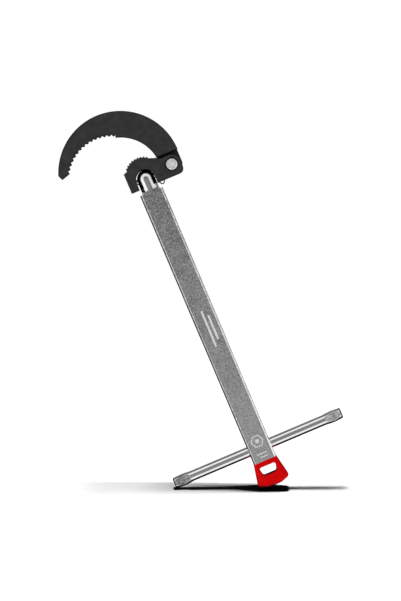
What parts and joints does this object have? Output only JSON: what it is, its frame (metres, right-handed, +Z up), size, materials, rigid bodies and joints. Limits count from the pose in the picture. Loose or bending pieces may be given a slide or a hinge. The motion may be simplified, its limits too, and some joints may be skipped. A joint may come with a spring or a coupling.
{
  "type": "basin wrench",
  "caption": "Telescoping basin wrench: square sliding shank, swivelling heel jaw with a sprung toothed hook, sliding T-handle and a moulded end cap with a hang hole.",
  "frame": {"origin": "on the shank's axis, level with the lowest point of the end cap", "axes": "+Z up the shank to the head, +Y away from the front face (the lock button is on the back, +Y), the jaws lie in the XZ plane and the hook opens towards -X"},
  "size_m": [0.1197, 0.0173, 0.2696],
  "materials": {
    "tube_steel": "satin nickel-grey plated square steel tube with a fine speckle",
    "chrome": "bright chrome plating",
    "black_steel": "matt black phosphate on forged steel",
    "red_plastic": "glossy red moulded plastic",
    "rivet_steel": "bright zinc-plated steel with turning marks",
    "button_steel": "ground bright steel",
    "spring_steel": "oiled spring steel"
  },
  "bodies": {
    "tube": {"outer_tube": "tube_steel", "end_cap": "red_plastic"},
    "t_bar": {"handle_bar": "chrome"},
    "shank": {"inner_tube": "tube_steel", "neck_stud": "chrome", "stud_pin": "spring_steel", "lock_spring": "spring_steel", "detent_ball": "button_steel", "detent_spring": "spring_steel"},
    "button": {"lock_button": "button_steel"},
    "head": {"heel_jaw": "black_steel", "swivel_pin": "button_steel", "jaw_rivet": "rivet_steel", "rivet_washer": "rivet_steel", "jaw_spring": "spring_steel"},
    "hook": {"hook_jaw": "black_steel"}
  },
  "joints": [
    {"name": "handle_slide", "type": "slide", "parent": "tube", "child": "t_bar", "axis": [1, 0, 0], "range_m": [-0.037, 0.04]},
    {"name": "shank_slide", "type": "slide", "parent": "tube", "child": "shank", "axis": [0, 0, 1], "range_m": [0, 0.15]},
    {"name": "button_press", "type": "slide", "parent": "shank", "child": "button", "axis": [0, -1, 0], "range_m": [0, 0.0032], "stiffness_N_per_m": 800, "springref_m": -0.004, "deforming": ["lock_spring"]},
    {"name": "head_swivel", "type": "hinge", "parent": "shank", "child": "head", "pos_m": [0, 0, 0.2187], "axis": [1, 0, 0], "range_deg": [-90, 90]},
    {"name": "jaw_pivot", "type": "hinge", "parent": "head", "child": "hook", "pos_m": [0.0194, 0, 0.22075], "axis": [0, 1, 0], "range_deg": [0, 75], "stiffness_Nm_per_rad": 0.12, "springref_deg": -57.3, "deforming": ["jaw_spring"]}
  ]
}
